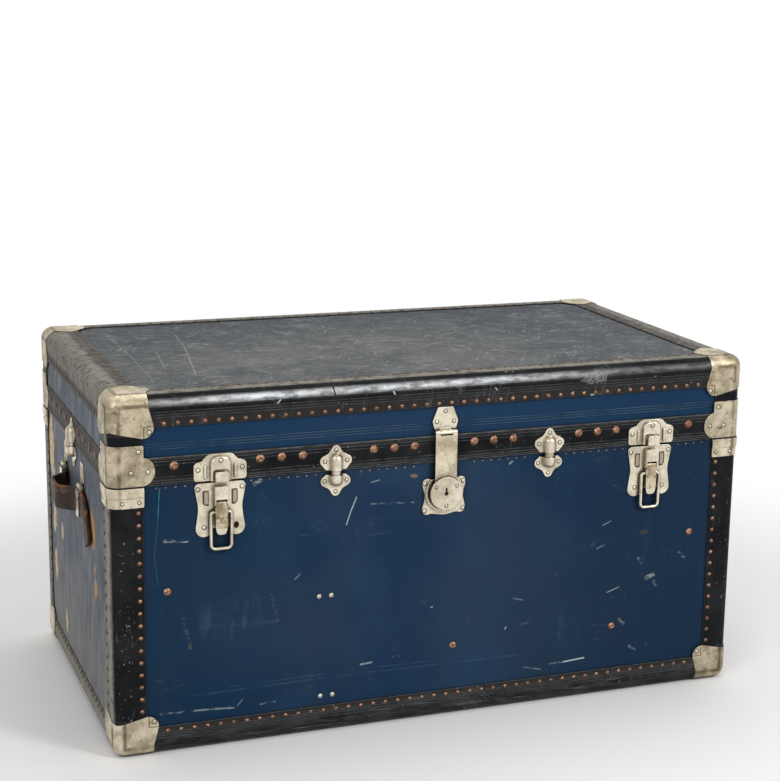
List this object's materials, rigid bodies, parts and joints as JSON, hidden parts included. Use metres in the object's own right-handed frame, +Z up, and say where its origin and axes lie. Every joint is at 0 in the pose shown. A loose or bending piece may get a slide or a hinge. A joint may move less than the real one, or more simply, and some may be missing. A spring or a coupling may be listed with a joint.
{
  "type": "sea chest",
  "caption": "Flat-topped travelling trunk: hinged lid, fibre bindings, pressed metal corner caps, draw-bolt latches, hasp lock, alignment dowels, lid stays and leather end handles.",
  "frame": {"origin": "on the floor under the middle of the trunk's length and of its depth over the bindings", "axes": "+X along the length to the right seen from the front, the front faces -Y, +Z up"},
  "size_m": [0.974, 0.5266, 0.4894],
  "materials": {
    "navy_fibre": "board covered in navy painted fibre, satin, scratched",
    "end_fibre": "board covered in faded grey-blue painted fibre, worn to cream in patches",
    "top_fibre": "board covered in grey-black painted fibre, heavily worn",
    "black_fibre": "black vulcanised fibre, satin, ribbed, scuffed",
    "nickel": "old nickel plate on steel, cream with brown wear",
    "steel": "plain dull steel",
    "copper_rivet": "tarnished copper",
    "leather": "black-brown leather, rust-brown at raw edges"
  },
  "bodies": {
    "case": {"case_bottom_board": "navy_fibre", "case_front_board": "navy_fibre", "case_back_board": "navy_fibre", "case_left_board": "end_fibre", "case_right_board": "end_fibre", "case_corner_bindings": "black_fibre", "bottom_bindings": "black_fibre", "bottom_cap_front_left": "nickel", "bottom_cap_front_right": "nickel", "bottom_cap_back_left": "nickel", "bottom_cap_back_right": "nickel", "case_collars": "nickel", "latch_base_left": "nickel", "latch_base_right": "nickel", "lock_base": "nickel", "dowel_bases": "nickel", "handle_plates_left": "nickel", "handle_plates_right": "nickel", "hinge_case_leaves": "steel", "hinge_pins": "steel", "stay_studs": "steel", "panel_rivets": "copper_rivet"},
    "lid": {"lid_top_board": "top_fibre", "lid_front_board": "navy_fibre", "lid_back_board": "navy_fibre", "lid_left_board": "end_fibre", "lid_right_board": "end_fibre", "lid_binding_front": "black_fibre", "lid_binding_back": "black_fibre", "lid_binding_left": "black_fibre", "lid_binding_right": "black_fibre", "lid_corner_bindings": "black_fibre", "lid_band": "black_fibre", "top_cap_front_left": "nickel", "top_cap_front_right": "nickel", "top_cap_back_left": "nickel", "top_cap_back_right": "nickel", "lid_clamps": "nickel", "latch_keeper_left": "nickel", "latch_keeper_right": "nickel", "dowel_sockets": "nickel", "hasp_hinge_plate": "nickel", "hasp_pin": "steel", "hinge_lid_leaves": "steel", "stay_pivots": "steel", "band_rivets": "copper_rivet"},
    "hasp": {"hasp_strap": "nickel", "lock_case": "nickel", "lock_face": "nickel"},
    "lock_bolt": {"lock_bolt": "steel"},
    "latch_lever_left": {"latch_lever_left": "nickel"},
    "latch_loop_left": {"latch_loop_left": "nickel"},
    "handle_left": {"handle_loops_left": "nickel", "handle_strap_left": "leather"},
    "lid_stay_left": {"lid_stay_left": "steel"},
    "latch_lever_right": {"latch_lever_right": "nickel"},
    "latch_loop_right": {"latch_loop_right": "nickel"},
    "handle_right": {"handle_loops_right": "nickel", "handle_strap_right": "leather"},
    "lid_stay_right": {"lid_stay_right": "steel"}
  },
  "joints": [
    {"name": "lid_hinge", "type": "hinge", "parent": "case", "child": "lid", "pos_m": [0, 0.2574, 0.37], "axis": [-1, 0, 0], "range_deg": [0, 100]},
    {"name": "hasp_swing", "type": "hinge", "parent": "lid", "child": "hasp", "pos_m": [0, -0.2564, 0.411], "axis": [-1, 0, 0], "range_deg": [0, 140]},
    {"name": "lock_bolt_throw", "type": "slide", "parent": "hasp", "child": "lock_bolt", "axis": [1, 0, 0], "range_m": [0, 0.008]},
    {"name": "latch_lever_left", "type": "hinge", "parent": "case", "child": "latch_lever_left", "pos_m": [-0.3125, -0.2573, 0.3409], "axis": [-1, 0, 0], "range_deg": [0, 95]},
    {"name": "latch_loop_left", "type": "hinge", "parent": "latch_lever_left", "child": "latch_loop_left", "pos_m": [-0.3125, -0.2573, 0.3289], "axis": [-1, 0, 0], "range_deg": [0, 85]},
    {"name": "handle_left", "type": "hinge", "parent": "case", "child": "handle_left", "pos_m": [-0.4602, 0, 0.322], "axis": [0, 1, 0], "range_deg": [0, 75]},
    {"name": "lid_stay_left", "type": "hinge", "parent": "lid", "child": "lid_stay_left", "pos_m": [-0.4454, 0.07166, 0.41], "axis": [-1, 0, 0], "range_deg": [-50, 0]},
    {"name": "latch_lever_right", "type": "hinge", "parent": "case", "child": "latch_lever_right", "pos_m": [0.3125, -0.2573, 0.3409], "axis": [-1, 0, 0], "range_deg": [0, 95]},
    {"name": "latch_loop_right", "type": "hinge", "parent": "latch_lever_right", "child": "latch_loop_right", "pos_m": [0.3125, -0.2573, 0.3289], "axis": [-1, 0, 0], "range_deg": [0, 85]},
    {"name": "handle_right", "type": "hinge", "parent": "case", "child": "handle_right", "pos_m": [0.4602, 0, 0.322], "axis": [0, -1, 0], "range_deg": [0, 75]},
    {"name": "lid_stay_right", "type": "hinge", "parent": "lid", "child": "lid_stay_right", "pos_m": [0.4454, 0.07166, 0.41], "axis": [-1, 0, 0], "range_deg": [-50, 0]}
  ],
  "couplings": [
    {"joint": "lid_stay_left", "follows": "lid_hinge", "ratio": -0.5},
    {"joint": "lid_stay_right", "follows": "lid_hinge", "ratio": -0.5}
  ]
}
